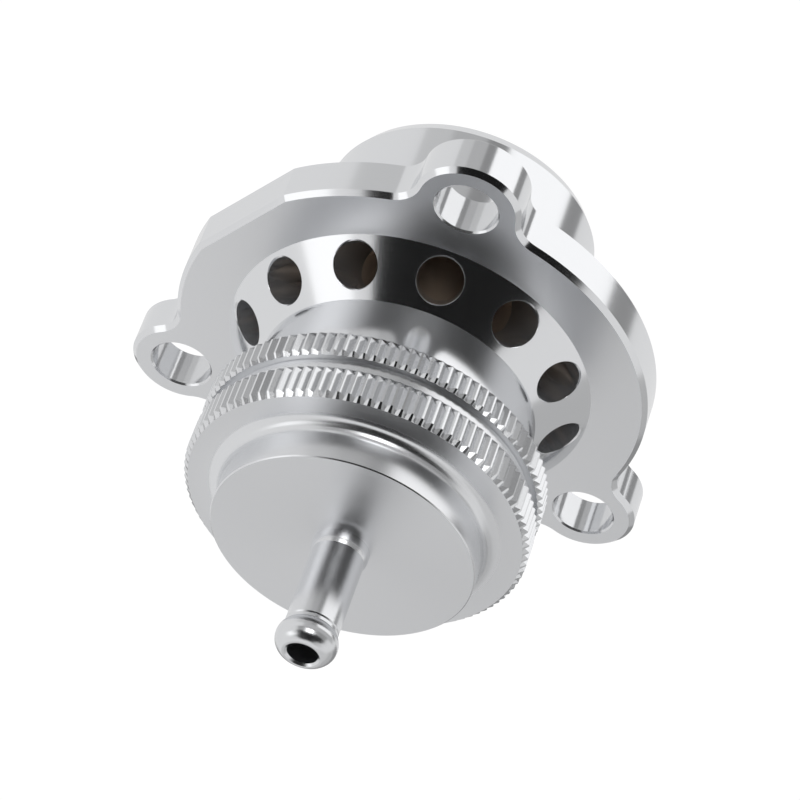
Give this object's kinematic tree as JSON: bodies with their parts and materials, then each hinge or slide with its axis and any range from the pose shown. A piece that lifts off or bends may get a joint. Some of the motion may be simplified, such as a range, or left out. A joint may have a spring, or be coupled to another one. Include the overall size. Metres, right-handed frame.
{
  "type": "blow off valve",
  "caption": "Flanged piston blow off valve with a vented cone, knurled rim, knurled screw cap, inlet spigot and a small hose nipple.",
  "frame": {"origin": "centre of the bolt circle on the flange's rear mounting face", "axes": "+Z along the valve axis from the mounting face towards the hose nipple, +Y through the middle of one bolt lug, the edge flat faces 150 degrees from +X"},
  "size_m": [0.0614, 0.062, 0.0656],
  "materials": {
    "bright_aluminium": "turned, clear anodised",
    "plated_metal": "polished",
    "dark_anodised": "hard anodised",
    "spring_steel": "oiled",
    "washer_steel": "zinc plated",
    "black_rubber": "moulded",
    "guide_plastic": "bronze filled",
    "gasket_fibre": "pressed fibre"
  },
  "bodies": {
    "housing": {"valve_body": "bright_aluminium", "spigot_ring": "black_rubber", "cap_gasket": "gasket_fibre"},
    "piston": {"piston": "dark_anodised", "piston_ring_lower": "black_rubber", "guide_ring": "guide_plastic", "piston_ring_upper": "black_rubber", "nose_ring": "black_rubber"},
    "spring_seat": {"piston_spring": "spring_steel", "thrust_washer": "washer_steel", "preload_shim": "washer_steel"},
    "cap": {"cap": "bright_aluminium", "hose_nipple": "plated_metal"}
  },
  "joints": [
    {"name": "piston_slide", "type": "slide", "parent": "housing", "child": "piston", "axis": [0, 0, 1], "range_m": [0, 0.008], "stiffness_N_per_m": 2000, "springref_m": -0.0125, "deforming": ["piston_spring"]},
    {"name": "cap_lift", "type": "slide", "parent": "housing", "child": "spring_seat", "axis": [0, 0, 1], "range_m": [0, 0.0035]},
    {"name": "cap_turn", "type": "hinge", "parent": "spring_seat", "child": "cap", "pos_m": [0, 0, 0.025], "axis": [0, 0, 1], "range_deg": [0, 1260]}
  ],
  "couplings": [
    {"joint": "cap_turn", "follows": "cap_lift", "rad_per_m": 6283.2}
  ]
}
